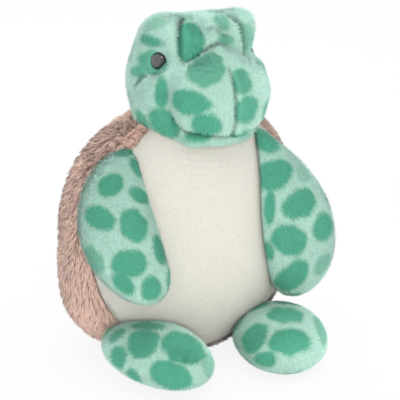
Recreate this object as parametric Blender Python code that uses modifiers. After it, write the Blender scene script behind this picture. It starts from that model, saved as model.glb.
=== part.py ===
"""Plush sea turtle that sits up on a pellet pouch, with its hind flippers forward.

Metres, +Z up. The turtle faces -Y and its right side is at -X. The origin is the
centre of the flat patch under the torso. Every cover is a cloth shell, open where it
is gathered and sewn, over its own stuffing. The head nods and turns about the centre
of the ball that its underside forms, and each flipper swings about its sewn root.
"""
import math

import bmesh
import bpy
import numpy as np
from mathutils import Matrix, Vector

# Cloth, thread and clearances
CLOTH = 0.0020
CLEARANCE = 0.0003
STUFFING_CLEARANCE = 0.0005
LEG_STUFFING_CLEARANCE = 0.0008
HEAD_STUFFING_CLEARANCE = 0.0008
PRESSED_CLEARANCE = 0.0008
PRESSED_LOFT = 0.0150
PRESSED_LOFT_POWER = 1.4
THREAD_RADIUS = 0.0007
NECK_THREAD_DEPTH = 0.00125
BASE_CUT = 0.0005
PROBE = 0.0001

# Torso: brown shell behind the side seam, cream belly in front of it
TORSO_HALF_WIDTH = 0.095
TORSO_FRONT_DEPTH = 0.068
TORSO_BACK_DEPTH = 0.076
TORSO_LOWER_HEIGHT = 0.098
TORSO_UPPER_HEIGHT = 0.107
TORSO_LEAN = 0.026
BELLY_POWER = 2.0
SHELL_POWER = 2.25
SEAT_POWER = 2.6
SHELL_START_SHARE = -0.2
SHELL_FADE_SHARE = 0.5
SEAT_START_SHARE = 0.1
SEAT_FADE_SHARE = 0.6
SIDE_SEAM_FORWARD = 0.026
POUCH_HEIGHT = 0.040

# Head: a ball below, squarer above
HEAD_BALL_RADIUS = 0.0500
HEAD_HALF_WIDTH = 0.0495
HEAD_UPPER_HEIGHT = 0.0510
HEAD_CENTRE_HEIGHT = 0.2195
HEAD_CENTRE_FORWARD = 0.0250
HEAD_LOWER_POWER = 2.0
HEAD_UPPER_POWER = 2.6
HEAD_UPPER_START_SHARE = -0.45
HEAD_UPPER_FADE_SHARE = 0.80

# Swells of the head: how far out, where they face and how wide they are
MUZZLE_SWELL = 0.0095
MUZZLE_RISE = math.radians(-8)
MUZZLE_SPREAD = math.radians(34)
MUZZLE_START_SHARE = -0.66
CHEEK_SWELL = 0.0040
CHEEK_TURN = math.radians(40)
CHEEK_RISE = math.radians(-14)
CHEEK_SPREAD = math.radians(24)
BROW_SWELL = 0.0040
BROW_TURN = math.radians(42)
BROW_RISE = math.radians(48)
BROW_SPREAD = math.radians(24)
VALLEY_DENT = 0.0070
VALLEY_TURN = math.radians(30)
VALLEY_RISE = math.radians(36)
VALLEY_SPREAD = math.radians(17)
SIDES_START_SHARE = -0.50
SWELL_FADE_SHARE = 0.30

# Eyes with posts and locking washers, set into dents of the cloth
EYE_RADIUS = 0.0061
EYE_DOME_HEIGHT = 0.0042
EYE_DOME_STEPS = 4
EYE_SEAT = 0.0004
EYE_TURN = math.radians(72)
EYE_RISE = math.radians(26)
EYE_FACING_TURN = math.radians(67)
EYE_FACING_RISE = math.radians(15)
EYE_DENT = 0.0105
EYE_SPREAD = math.radians(21)
EYE_DENT_POWER = 4.0
POST_RADIUS = 0.0021
POST_LENGTH = 0.0095
WASHER_RADIUS = 0.0065
WASHER_THICKNESS = 0.0012
WASHER_DEPTH = 0.0036

# Front flippers: turn from straight ahead, rise, and distance off the torso
ARM_ROOT = (math.radians(69), math.radians(53), 0.0006)
LEFT_ARM_MIDDLE = (math.radians(55), math.radians(1), 0.0110)
LEFT_ARM_TIP = (math.radians(51), math.radians(-29), 0.0150)
RIGHT_ARM_MIDDLE = (math.radians(54), math.radians(12), 0.0110)
RIGHT_ARM_TIP = (math.radians(37), math.radians(-20), 0.0150)
ARM_HALF_WIDTH = 0.0345
ARM_HALF_THICKNESS = 0.0155
ARM_TIP_SWELL_SHARE = 0.08

# Hind flippers: turn and drop of the root round the torso, and its distance off it
LEG_ROOT = (math.radians(75), math.radians(-46), -0.0003)
LEG_LENGTH = 0.101
LEG_TOE_IN = math.radians(20)
LEG_BOW = 0.004
LEG_HALF_WIDTH = 0.0370
LEG_HALF_THICKNESS = 0.0230
LEG_TIP_SWELL_SHARE = 0.05

# Facets round and along each form
TORSO_FACETS = (30, 20)
HEAD_FACETS = (28, 20)
ARM_FACETS = (18, 14)
LEG_FACETS = (18, 14)
EYE_FACETS = 16
THREAD_POINTS = 24
NECK_RINGS_OPEN = 3
ROOT_RINGS_OPEN = 2
OPENING_SHARE = 0.5
THREAD_SHARE = 0.8

LEFT = 1
RIGHT = -1


def start_collections(name):
    """Empty the scene and give it one collection for the parts and one for cutters."""
    for item in list(bpy.data.objects):
        bpy.data.objects.remove(item)
    parts = bpy.data.collections.new(name)
    cutters = bpy.data.collections.new(name + "_cutters")
    bpy.context.scene.collection.children.link(parts)
    bpy.context.scene.collection.children.link(cutters)
    return parts, cutters


def finish(name, colour, roughness, metallic=0.0):
    """A Principled material in the colour of one piece."""
    material = bpy.data.materials.new(name)
    material.use_nodes = True
    shader = material.node_tree.nodes["Principled BSDF"]
    shader.inputs["Base Color"].default_value = (*colour, 1.0)
    shader.inputs["Roughness"].default_value = roughness
    shader.inputs["Metallic"].default_value = metallic
    return material


def unit(vector):
    """The vector or rows of vectors, one long."""
    vector = np.asarray(vector, float)
    return vector / np.linalg.norm(vector, axis=-1, keepdims=True)


def smooth(value):
    """A smooth step from 0 to 1 as the value goes from 0 to 1."""
    value = np.clip(value, 0.0, 1.0)
    return value * value * (3.0 - 2.0 * value)


def rounded_radius(direction, radii, power):
    """Distance to a superellipsoid's surface along unit directions."""
    return (np.abs(direction / radii) ** power[..., None]).sum(-1) ** (-1.0 / power)


def torso_lean(height):
    """How far the torso's middle line leans forward at a height, up to the neck."""
    share = np.clip((height - torso_centre_height()) / TORSO_UPPER_HEIGHT, 0.0, 1.0)
    return -TORSO_LEAN * share * share


def torso_centre_height():
    """Height of the torso's middle, which leaves the base cut below the floor."""
    return TORSO_LOWER_HEIGHT - BASE_CUT


def torso_radius(direction):
    """Distance from the torso's middle to its upright surface along unit directions."""
    depth = np.where(direction[:, 1] < 0, TORSO_FRONT_DEPTH, TORSO_BACK_DEPTH)
    height = np.where(direction[:, 2] < 0, TORSO_LOWER_HEIGHT, TORSO_UPPER_HEIGHT)
    width = np.full(len(direction), TORSO_HALF_WIDTH)
    behind = smooth((direction[:, 1] - SHELL_START_SHARE) / SHELL_FADE_SHARE)
    low = smooth((SEAT_START_SHARE - direction[:, 2]) / SEAT_FADE_SHARE)
    shell_power = SHELL_POWER + (SEAT_POWER - SHELL_POWER) * low
    power = BELLY_POWER + (shell_power - BELLY_POWER) * behind
    return rounded_radius(direction, np.stack([width, depth, height], axis=-1), power)


def torso_middle():
    """The point that the torso's radii are measured from."""
    return np.array([0.0, 0.0, torso_centre_height()])


def on_torso(turn, rise, off, side):
    """A place at a distance off the torso's surface, seen from its middle."""
    aim = facing(side * turn, rise)
    place = torso_middle() + aim * (torso_radius(aim[None])[0] + off)
    place[1] += torso_lean(place[2])
    return place


def pushed_out(points, centre, radius_along, clearance):
    """Points inside a form moved out along its radii until they clear its surface."""
    offset = points - centre
    distance = np.linalg.norm(offset, axis=-1)
    direction = offset / np.maximum(distance, PROBE)[:, None]
    clear = np.maximum(distance, radius_along(direction) + clearance)
    return centre + direction * clear[:, None]


def head_centre():
    """Centre of the head's ball, which both neck joints turn about."""
    return np.array([0.0, -HEAD_CENTRE_FORWARD, HEAD_CENTRE_HEIGHT])


def torso_form(ball):
    """Egg-shaped torso that leans forward to the neck."""
    points = ball * torso_radius(unit(ball))[:, None]
    points[:, 2] += torso_centre_height()
    points[:, 1] += torso_lean(points[:, 2])
    return points


def clear_of_torso(points, clearance):
    """Points pressed against the torso's upright form, moved out to its surface."""
    upright = points.copy()
    lean = torso_lean(points[:, 2])
    upright[:, 1] -= lean
    upright = pushed_out(upright, torso_middle(), torso_radius, clearance)
    upright[:, 1] += torso_lean(upright[:, 2])
    return upright


def swell(direction, turn, rise, spread, power=2.0):
    """1 towards a facing direction, falling off over an angle, the same on both sides."""
    aim = facing(turn, rise)
    mirrored = aim * np.array([-1.0, 1.0, 1.0])
    near = np.maximum(direction @ aim, direction @ mirrored)
    angle = np.arccos(np.clip(near, -1.0, 1.0))
    return np.exp(-(angle / spread) ** power)


def facing(turn, rise):
    """Unit direction turned to the left from straight ahead and raised by an angle."""
    flat = math.cos(rise)
    return np.array([flat * math.sin(turn), -flat * math.cos(turn), math.sin(rise)])


def head_radius(direction):
    """Distance from the head's centre to its surface: ball, brows, cheeks and muzzle."""
    above = smooth((direction[:, 2] - HEAD_UPPER_START_SHARE) / HEAD_UPPER_FADE_SHARE)
    power = HEAD_LOWER_POWER + (HEAD_UPPER_POWER - HEAD_LOWER_POWER) * above
    width = HEAD_BALL_RADIUS + (HEAD_HALF_WIDTH - HEAD_BALL_RADIUS) * above
    depth = np.full(len(direction), HEAD_BALL_RADIUS)
    height = np.where(direction[:, 2] < 0, HEAD_BALL_RADIUS, HEAD_UPPER_HEIGHT)
    radius = rounded_radius(direction, np.stack([width, depth, height], axis=-1), power)
    face = MUZZLE_SWELL * swell(direction, 0.0, MUZZLE_RISE, MUZZLE_SPREAD)
    sides = CHEEK_SWELL * swell(direction, CHEEK_TURN, CHEEK_RISE, CHEEK_SPREAD)
    sides += BROW_SWELL * swell(direction, BROW_TURN, BROW_RISE, BROW_SPREAD)
    sides -= VALLEY_DENT * swell(direction, VALLEY_TURN, VALLEY_RISE, VALLEY_SPREAD)
    sides -= EYE_DENT * swell(direction, EYE_TURN, EYE_RISE, EYE_SPREAD, EYE_DENT_POWER)
    radius += face * smooth((direction[:, 2] - MUZZLE_START_SHARE) / SWELL_FADE_SHARE)
    return radius + sides * smooth((direction[:, 2] - SIDES_START_SHARE) / SWELL_FADE_SHARE)


def head_form(ball):
    """The head, seated on the torso."""
    return unit(ball) * head_radius(unit(ball))[:, None] + head_centre()


def limb_form(root, middle, tip, across, half_width, half_thickness, tip_swell):
    """A flipper swept along a smooth curve from its sewn root to its tip."""
    root, middle, tip = (np.asarray(point, float) for point in (root, middle, tip))
    bow = 2.0 * middle - (root + tip) / 2.0

    def form(ball):
        share = ((1.0 - ball[:, 2]) / 2.0)[:, None]
        line = (1 - share) ** 2 * root + 2 * share * (1 - share) * bow + share ** 2 * tip
        along = unit((1 - share) * (bow - root) + share * (tip - bow))
        side = unit(across - along * (along @ across)[:, None])
        front = np.cross(side, along)
        fatter = 1.0 + tip_swell * (2.0 * share - 1.0)
        offset = fatter * (side * half_width * ball[:, :1] + front * half_thickness * ball[:, 1:2])
        outward = (unit(offset + PROBE * along) * unit(line - torso_middle())).sum(-1)
        girth = np.hypot(ball[:, 0], ball[:, 1]) ** PRESSED_LOFT_POWER
        clearance = PRESSED_CLEARANCE + PRESSED_LOFT * girth * (1.0 + outward) / 2.0
        return clear_of_torso(line + offset, clearance)

    return form


def arm_form(side):
    """Front flipper of one side, its flat face to the front."""
    hanging = {LEFT: (LEFT_ARM_MIDDLE, LEFT_ARM_TIP), RIGHT: (RIGHT_ARM_MIDDLE, RIGHT_ARM_TIP)}
    places = [on_torso(*place, side) for place in (ARM_ROOT, *hanging[side])]
    return limb_form(*places, np.array([1.0, 0.0, 0.0]), ARM_HALF_WIDTH,
                     ARM_HALF_THICKNESS, ARM_TIP_SWELL_SHARE)


def leg_root(side):
    """The sewn end of a hind flipper, level with the middle of its thickness."""
    place = on_torso(*LEG_ROOT, side)
    place[2] = LEG_HALF_THICKNESS - BASE_CUT
    return place


def leg_form(side):
    """Hind flipper of one side, flat on the floor and toed in."""
    ahead = facing(-side * LEG_TOE_IN, 0.0)
    across = np.array([-ahead[1], ahead[0], 0.0])
    root = leg_root(side)
    middle = root + ahead * LEG_LENGTH / 2.0 + across * side * LEG_BOW
    return limb_form(root, middle, root + ahead * LEG_LENGTH, across, LEG_HALF_WIDTH,
                     LEG_HALF_THICKNESS, LEG_TIP_SWELL_SHARE)


def polar_angle(rings, facets):
    """Angle from a ball's pole to a number of its rings, or to a place between two."""
    return math.pi * rings / facets[1]


def shaped_ball(form, facets, rings_open=0):
    """A primitive ball moved onto a form, cut flat on the floor, open at its first pole."""
    mesh = bmesh.new()
    bmesh.ops.create_uvsphere(mesh, u_segments=facets[0], v_segments=facets[1], radius=1.0)
    ball = np.array([vertex.co for vertex in mesh.verts])
    limit = math.cos(polar_angle(rings_open - OPENING_SHARE, facets))
    gone = [vertex for vertex in mesh.verts if rings_open and vertex.co.z > limit]
    for vertex, place in zip(mesh.verts, form(ball)):
        vertex.co = place
    bmesh.ops.delete(mesh, geom=gone, context="VERTS")
    cut_and_close(mesh, (0.0, 0.0, 0.0), (0.0, 0.0, -1.0))
    mesh.normal_update()
    return mesh


def stuffing_ball(form, facets, rings_open, clearance):
    """A form drawn in by its cloth and clearance, flat where its cover is open."""
    mesh = shaped_ball(form, facets, rings_open)
    draw_in(mesh.verts, CLOTH + clearance)
    bmesh.ops.contextual_create(mesh, geom=[edge for edge in mesh.edges if edge.is_boundary])
    return mesh


def cut_and_close(mesh, place, away):
    """Remove what lies beyond a plane and close the cut with a flat face."""
    everything = mesh.verts[:] + mesh.edges[:] + mesh.faces[:]
    cut = bmesh.ops.bisect_plane(mesh, geom=everything, plane_co=place, plane_no=away,
                                 clear_outer=True)
    edges = [item for item in cut["geom_cut"] if isinstance(item, bmesh.types.BMEdge)]
    if edges:
        bmesh.ops.contextual_create(mesh, geom=edges)


def add_object(mesh, name, material, origin=(0.0, 0.0, 0.0)):
    """An object named as its node, with its origin on its joint."""
    data = bpy.data.meshes.new(name)
    bmesh.ops.translate(mesh, vec=-Vector(origin), verts=mesh.verts)
    mesh.to_mesh(data)
    mesh.free()
    data.materials.append(material)
    data.shade_smooth()
    item = bpy.data.objects.new(name, data)
    item.location = origin
    PARTS.objects.link(item)
    return item


def make_cloth(item):
    """Give an open surface the cloth's thickness, inwards."""
    solid = item.modifiers.new("cloth", "SOLIDIFY")
    solid.thickness = CLOTH
    solid.offset = -1.0
    return item


def shrink_to_stuffing(item, clearance):
    """Draw a closed form in until it clears the inside of its cover."""
    inset = item.modifiers.new("inside_cover", "DISPLACE")
    inset.strength = -(CLOTH + clearance)
    inset.mid_level = 0.0
    return item


def cut_with(item, cutter):
    """Exact Boolean difference."""
    cut = item.modifiers.new("cut_" + cutter.name, "BOOLEAN")
    cut.operation = "DIFFERENCE"
    cut.solver = "EXACT"
    cut.object = cutter


def add_thread(form, polar, depth, name, material, origin):
    """A ring of gathering thread round an opening, at a depth inside the form."""
    turns = np.linspace(0.0, 2.0 * math.pi, THREAD_POINTS, endpoint=False)

    def surface(angle, around):
        flat = math.sin(angle)
        return form(np.stack([flat * np.cos(around), flat * np.sin(around),
                              np.full(len(around), math.cos(angle))], axis=-1))

    points = surface(polar, turns)
    down = surface(polar + PROBE, turns) - points
    round_it = surface(polar, turns + PROBE) - points
    normal = unit(np.cross(down, round_it))
    places = points - normal * depth - np.array(origin)
    curve = bpy.data.curves.new(name, "CURVE")
    curve.dimensions = "3D"
    curve.bevel_depth = THREAD_RADIUS
    curve.bevel_resolution = 1
    curve.materials.append(material)
    spline = curve.splines.new("POLY")
    spline.points.add(len(places) - 1)
    for point, place in zip(spline.points, places):
        point.co = (*place, 1.0)
    spline.use_cyclic_u = True
    item = bpy.data.objects.new(name, curve)
    item.location = origin
    PARTS.objects.link(item)
    return item


def add_head_seat():
    """A ball whose flats clear the head's ball however the head turns."""
    around, along = HEAD_FACETS
    flats = math.cos(math.pi / around) * math.cos(math.pi / (2 * along))
    mesh = bmesh.new()
    bmesh.ops.create_uvsphere(mesh, u_segments=around, v_segments=along,
                              radius=(HEAD_BALL_RADIUS + CLEARANCE) / flats)
    return add_cutter(mesh, "head_seat", Matrix.Translation(Vector(head_centre())))


def make_torso(looks):
    """Shell and belly covers, stuffing above and the pellet pouch below."""
    seat = add_head_seat()
    seams = {"shell_cover": (-1.0, looks["shell_pile"]), "belly_cover": (1.0, looks["belly_pile"])}
    for name, (away, material) in seams.items():
        cut_with(add_object(torso_half(away), name, material), seat)
    shares = {"torso_stuffing": (POUCH_HEIGHT + CLEARANCE, -1.0, looks["fibre"]),
              "pellet_pouch": (POUCH_HEIGHT, 1.0, looks["pouch_cloth"])}
    for name, (level, away, material) in shares.items():
        mesh = inner_torso()
        cut_and_close(mesh, (0.0, 0.0, level), (0.0, 0.0, away))
        item = add_object(mesh, name, material)
        if name == "torso_stuffing":
            cut_with(item, seat)


def torso_half(away):
    """The torso's cloth on one side of the side seam, with its cut edge closed."""
    mesh = shaped_ball(torso_form, TORSO_FACETS)
    copied = bmesh.ops.duplicate(mesh, geom=mesh.verts[:] + mesh.edges[:] + mesh.faces[:])
    inner = copied["geom"]
    draw_in([item for item in inner if isinstance(item, bmesh.types.BMVert)], CLOTH)
    bmesh.ops.reverse_faces(mesh, faces=[f for f in inner if isinstance(f, bmesh.types.BMFace)])
    seam = -SIDE_SEAM_FORWARD - away * CLEARANCE / 2.0
    everything = mesh.verts[:] + mesh.edges[:] + mesh.faces[:]
    cut = bmesh.ops.bisect_plane(mesh, geom=everything, plane_co=(0.0, seam, 0.0),
                                 plane_no=(0.0, away, 0.0), clear_outer=True)
    edges = [item for item in cut["geom_cut"] if isinstance(item, bmesh.types.BMEdge)]
    bmesh.ops.bridge_loops(mesh, edges=edges)
    bmesh.ops.recalc_face_normals(mesh, faces=mesh.faces)
    return mesh


def draw_in(vertices, depth):
    """Move vertices inwards along their normals, all worked out before any moves."""
    places = [vertex.co - vertex.normal * depth for vertex in vertices]
    for vertex, place in zip(vertices, places):
        vertex.co = place


def inner_torso():
    """The torso's form drawn in by its cloth and clearance, as one closed mesh."""
    mesh = shaped_ball(torso_form, TORSO_FACETS)
    draw_in(mesh.verts, CLOTH + STUFFING_CLEARANCE)
    return mesh


def make_head(looks):
    """Head cover and stuffing, with the eyes and washers set into them."""
    centre = head_centre()
    flipped = turned_over(head_form)
    cover = add_object(shaped_ball(flipped, HEAD_FACETS, NECK_RINGS_OPEN), "head_cover",
                       looks["green_pile"], centre)
    make_cloth(cover)
    stuffing = add_object(shaped_ball(flipped, HEAD_FACETS), "head_stuffing",
                          looks["fibre"], centre)
    shrink_to_stuffing(stuffing, HEAD_STUFFING_CLEARANCE)
    for side, name in ((LEFT, "left"), (RIGHT, "right")):
        place = eye_place(side)
        add_turned(eye_profile(), "eye_" + name, looks["eye"], place)
        add_turned(washer_profile(), "eye_washer_" + name, looks["washer"], place)
        cut_with(cover, add_bore("post_hole_" + name, place, POST_RADIUS + CLEARANCE,
                                 -POST_LENGTH))
        cut_with(cover, add_bore("eye_bed_" + name, place, EYE_RADIUS + CLEARANCE,
                                 -EYE_SEAT - CLEARANCE))
        cut_with(stuffing, add_bore("washer_pocket_" + name, place,
                                    WASHER_RADIUS + HEAD_STUFFING_CLEARANCE,
                                    -POST_LENGTH - CLEARANCE))
    add_thread(flipped, polar_angle(NECK_RINGS_OPEN - THREAD_SHARE, HEAD_FACETS),
               NECK_THREAD_DEPTH, "neck_thread", looks["thread"], centre)


def turned_over(form):
    """The same form with the ball's first pole at the neck, underneath."""
    return lambda ball: form(ball * np.array([1.0, -1.0, -1.0]))


def eye_profile():
    """Dome, flat back and post, from the top of the dome to the middle of the post's end."""
    steps = [math.pi * step / (2 * EYE_DOME_STEPS) for step in range(EYE_DOME_STEPS + 1)]
    dome = [(EYE_RADIUS * math.sin(angle), EYE_DOME_HEIGHT * math.cos(angle) - EYE_SEAT)
            for angle in steps]
    return dome + [(POST_RADIUS, -EYE_SEAT), (POST_RADIUS, -POST_LENGTH), (0.0, -POST_LENGTH)]


def washer_profile():
    """A flat ring round the post."""
    inner = POST_RADIUS + CLEARANCE
    back = -WASHER_DEPTH - WASHER_THICKNESS
    return [(WASHER_RADIUS, -WASHER_DEPTH), (WASHER_RADIUS, back), (inner, back),
            (inner, -WASHER_DEPTH)]


def eye_place(side):
    """Where an eye's post leaves the head: a matrix whose Z axis points out."""
    place = head_form(facing(side * EYE_TURN, EYE_RISE)[None])[0]
    normal = Vector(facing(side * EYE_FACING_TURN, EYE_FACING_RISE))
    return Matrix.Translation(Vector(place)) @ normal.to_track_quat("Z", "Y").to_matrix().to_4x4()


def add_turned(profile, name, material, place):
    """A profile in the XZ plane turned about Z by a Screw modifier."""
    mesh = bmesh.new()
    points = [mesh.verts.new((across, 0.0, height)) for across, height in profile]
    for start, end in zip(points, points[1:]):
        mesh.edges.new((start, end))
    if profile[0][0] > 0:
        mesh.edges.new((points[-1], points[0]))
    data = bpy.data.meshes.new(name)
    mesh.to_mesh(data)
    mesh.free()
    data.materials.append(material)
    item = bpy.data.objects.new(name, data)
    item.matrix_world = place
    PARTS.objects.link(item)
    turned = item.modifiers.new("turned", "SCREW")
    turned.axis = "Z"
    turned.steps = EYE_FACETS
    turned.render_steps = EYE_FACETS
    turned.use_merge_vertices = True
    turned.merge_threshold = PROBE / 10.0
    turned.use_smooth_shade = True
    return item


def add_bore(name, place, radius, bottom):
    """A cylinder along an eye's post, from its bottom to well outside the cloth."""
    mesh = bmesh.new()
    bmesh.ops.create_cone(mesh, cap_ends=True, segments=EYE_FACETS, radius1=radius,
                          radius2=radius, depth=2.0 * POST_LENGTH)
    return add_cutter(mesh, name, place @ Matrix.Translation((0.0, 0.0, bottom + POST_LENGTH)))


def add_cutter(mesh, name, place):
    """A mesh kept out of the render, for a Boolean to cut with."""
    data = bpy.data.meshes.new(name)
    mesh.to_mesh(data)
    mesh.free()
    item = bpy.data.objects.new(name, data)
    item.matrix_world = place
    item.hide_render = True
    item.display_type = "WIRE"
    CUTTERS.objects.link(item)
    return item


def make_limb(form, facets, kind, side_name, root, clearance, looks):
    """One flipper: cover, stuffing and the thread that gathers its root."""
    cover = add_object(shaped_ball(form, facets, ROOT_RINGS_OPEN),
                       f"{kind}_cover_{side_name}", looks["green_pile"], root)
    make_cloth(cover)
    add_object(stuffing_ball(form, facets, ROOT_RINGS_OPEN, clearance),
               f"{kind}_stuffing_{side_name}", looks["fibre"], root)
    joint = {"arm": "shoulder", "leg": "hip"}[kind]
    add_thread(form, polar_angle(ROOT_RINGS_OPEN - THREAD_SHARE, facets),
               THREAD_RADIUS + CLEARANCE - PRESSED_CLEARANCE,
               f"{joint}_thread_{side_name}", looks["thread"], root)


def make_limbs(looks):
    """Both arms and both legs."""
    for side, name in ((LEFT, "left"), (RIGHT, "right")):
        make_limb(arm_form(side), ARM_FACETS, "arm", name, on_torso(*ARM_ROOT, side),
                  STUFFING_CLEARANCE, looks)
        make_limb(leg_form(side), LEG_FACETS, "leg", name, leg_root(side),
                  LEG_STUFFING_CLEARANCE, looks)


def make_looks():
    """The materials, by what they are."""
    return {
        "green_pile": finish("green_pile", (0.30, 0.60, 0.47), 0.95),
        "shell_pile": finish("shell_pile", (0.33, 0.18, 0.14), 0.95),
        "belly_pile": finish("belly_pile", (0.80, 0.77, 0.68), 0.95),
        "fibre": finish("fibre", (0.92, 0.92, 0.90), 1.0),
        "pouch_cloth": finish("pouch_cloth", (0.85, 0.84, 0.80), 0.9),
        "eye": finish("eye", (0.05, 0.055, 0.055), 0.1),
        "washer": finish("washer", (0.85, 0.85, 0.85), 0.5),
        "thread": finish("thread", (0.24, 0.42, 0.34), 0.8),
    }


PARTS, CUTTERS = start_collections("plush_turtle")
LOOKS = make_looks()
make_torso(LOOKS)
make_head(LOOKS)
make_limbs(LOOKS)
bpy.context.view_layer.update()
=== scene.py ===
"""Looks of a plush sea turtle that sits up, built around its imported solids.

Metres, +Z up. The turtle faces -Y and its own right side is at -X. Every cover is a
closed surface on a grid of two parameters, and its pile is thousands of thin closed
needles that grow from places on that grid, combed and gathered into clumps.
"""
import math

import bpy
import numpy as np
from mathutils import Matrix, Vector


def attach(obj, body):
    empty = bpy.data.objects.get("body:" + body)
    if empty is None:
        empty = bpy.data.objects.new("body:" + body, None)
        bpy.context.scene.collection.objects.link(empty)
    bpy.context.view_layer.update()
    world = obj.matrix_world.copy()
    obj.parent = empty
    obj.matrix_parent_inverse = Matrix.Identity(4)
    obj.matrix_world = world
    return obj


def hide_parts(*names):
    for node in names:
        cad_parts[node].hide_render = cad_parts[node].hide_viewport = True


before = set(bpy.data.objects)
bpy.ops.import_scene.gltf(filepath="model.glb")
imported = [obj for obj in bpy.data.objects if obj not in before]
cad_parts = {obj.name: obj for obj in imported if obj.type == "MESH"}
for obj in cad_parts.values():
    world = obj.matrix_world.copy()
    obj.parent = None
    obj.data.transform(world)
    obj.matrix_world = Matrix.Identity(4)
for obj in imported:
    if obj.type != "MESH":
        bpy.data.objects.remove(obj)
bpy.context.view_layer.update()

LEFT, RIGHT = 1, -1
SIDES = {"left": LEFT, "right": RIGHT}

bl_info = {
    "name": "Plush sea turtle",
    "version": (1, 0, 0),
    "blender": (4, 5, 0),
    "location": "3D View > Sidebar > Turtle",
    "description": "Covers, pile, eyes and stage of a seated plush sea turtle",
    "category": "Object",
}


# Plain maths on arrays of points

def unit(vectors):
    """Rows of vectors, each divided by its length."""
    vectors = np.asarray(vectors, float)
    return vectors / np.maximum(np.linalg.norm(vectors, axis=-1, keepdims=True), 1e-12)


def smooth(value):
    """3x^2 - 2x^3 of the value held between 0 and 1."""
    value = np.clip(value, 0.0, 1.0)
    return value * value * (3.0 - 2.0 * value)


def aim(turn, rise):
    """Unit directions turned from straight ahead to the left and raised, in degrees."""
    turn, rise = np.radians(turn), np.radians(rise)
    flat = np.cos(rise)
    return np.stack([flat * np.sin(turn), -flat * np.cos(turn), np.sin(rise) + 0.0 * turn], -1)


def turn_and_rise(directions):
    """The two angles of unit directions, in degrees: the inverse of aim."""
    turn = np.degrees(np.arctan2(directions[..., 0], -directions[..., 1]))
    return turn, np.degrees(np.arcsin(np.clip(directions[..., 2], -1.0, 1.0)))


def bell(directions, turn, rise, spread):
    """exp(-(angle / spread)^2) round a direction and its mirror image, in degrees."""
    towards = aim(turn, rise)
    near = np.maximum(directions @ towards, directions @ (towards * (-1.0, 1.0, 1.0)))
    return np.exp(-(np.degrees(np.arccos(np.clip(near, -1.0, 1.0))) / spread) ** 2)


def flat_bell(directions, turn, rise, spread):
    """A bell with a flat top, exp(-(angle / spread)^4), on both sides."""
    return np.exp(-np.log(np.maximum(bell(directions, turn, rise, spread), 1e-30)) ** 2)


LUMP_WAVES = 9


def lumps(points, size, seed):
    """Smooth random bumps: a sum of sine waves in seeded directions, one bump per size."""
    draw = np.random.default_rng(seed)
    rates = unit(draw.normal(size=(LUMP_WAVES, 3))) * draw.uniform(0.7, 1.4, (LUMP_WAVES, 1))
    phases = draw.uniform(0.0, 2.0 * math.pi, LUMP_WAVES)
    waves = np.sin(points @ rates.T * (2.0 * math.pi / size) + phases)
    return waves.sum(-1) / math.sqrt(LUMP_WAVES)


def along_line(points, line):
    """Distance of points to a polyline, and the share of its length where they come nearest."""
    line = np.asarray(line, float)
    best, where, run = np.full(points.shape[:-1], np.inf), np.zeros(points.shape[:-1]), 0.0
    lengths = np.linalg.norm(np.diff(line, axis=0), axis=1)
    for start, end, length in zip(line, line[1:], lengths):
        share = np.clip((points - start) @ (end - start) / length ** 2, 0.0, 1.0)
        gap = np.linalg.norm(points - start - share[..., None] * (end - start), axis=-1)
        where = np.where(gap < best, (run + share * length) / lengths.sum(), where)
        best, run = np.minimum(best, gap), run + length
    return best, where


# Forms, in metres: the torso is the solids' own, and the head and flippers are fitted closer

TORSO_MIDDLE = np.array([0.0, 0.0, 0.0975])
TORSO_UPPER_HEIGHT = 0.107
HEAD_CENTRE = np.array([0.0, -0.0250, 0.2195])
HEAD_BALL = 0.0500
SEAM_PLANE = -0.026
SEAM_GAP = 0.0001
SEAM_MIDDLE = 0.095
FLOOR = 0.0


def superellipsoid(directions, radii, power):
    """Radius (|x/a|^p + |y/b|^p + |z/c|^p)^(-1/p) along unit directions."""
    return (np.abs(directions / radii) ** power[..., None]).sum(-1) ** (-1.0 / power)


def torso_lean(height):
    """The torso leans forward by a share of 26 mm that grows as height squared."""
    share = np.clip((height - TORSO_MIDDLE[2]) / TORSO_UPPER_HEIGHT, 0.0, 1.0)
    return -0.026 * share * share


def torso_radius(directions):
    """Egg-like superellipsoid: rounder in front, squarer behind and squarest at the seat."""
    x, y, z = np.moveaxis(directions, -1, 0)
    radii = np.stack([0.095 + 0.0 * x, np.where(y < 0, 0.068, 0.076),
                      np.where(z < 0, 0.098, TORSO_UPPER_HEIGHT)], -1)
    shell = 2.25 + 0.35 * smooth((0.1 - z) / 0.6)
    return superellipsoid(directions, radii, 2.0 + (shell - 2.0) * smooth((y + 0.2) / 0.5))


def leaned(points):
    """Points moved forward by the torso's lean at their height."""
    points[..., 1] += torso_lean(points[..., 2])
    return points


def torso_points(directions):
    """The torso's surface along directions from its middle, leaned forward."""
    return leaned(TORSO_MIDDLE + directions * torso_radius(directions)[..., None])


def from_torso_middle(points):
    """Offsets of points from the torso's middle, with the lean taken out."""
    offset = points - TORSO_MIDDLE
    offset[..., 1] -= torso_lean(points[..., 2])
    return offset


def out_of_torso(points):
    """How far points lie outside the torso, measured along its radii; less than 0 is inside."""
    offset = from_torso_middle(points)
    return np.linalg.norm(offset, axis=-1) - torso_radius(unit(offset))


def pressed_out_of_torso(points, clearance):
    """Points nearer than a clearance moved out along the torso's radii to it."""
    offset = from_torso_middle(points)
    directions = unit(offset)
    reach = np.maximum(np.linalg.norm(offset, axis=-1), torso_radius(directions) + clearance)
    return leaned(TORSO_MIDDLE + directions * reach[..., None])


def on_torso(turn, rise, off):
    """A place at a distance off the torso, by the direction from its middle in degrees."""
    direction = aim(turn, rise)
    return leaned(TORSO_MIDDLE + direction * (torso_radius(direction[None])[0] + off))


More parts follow.
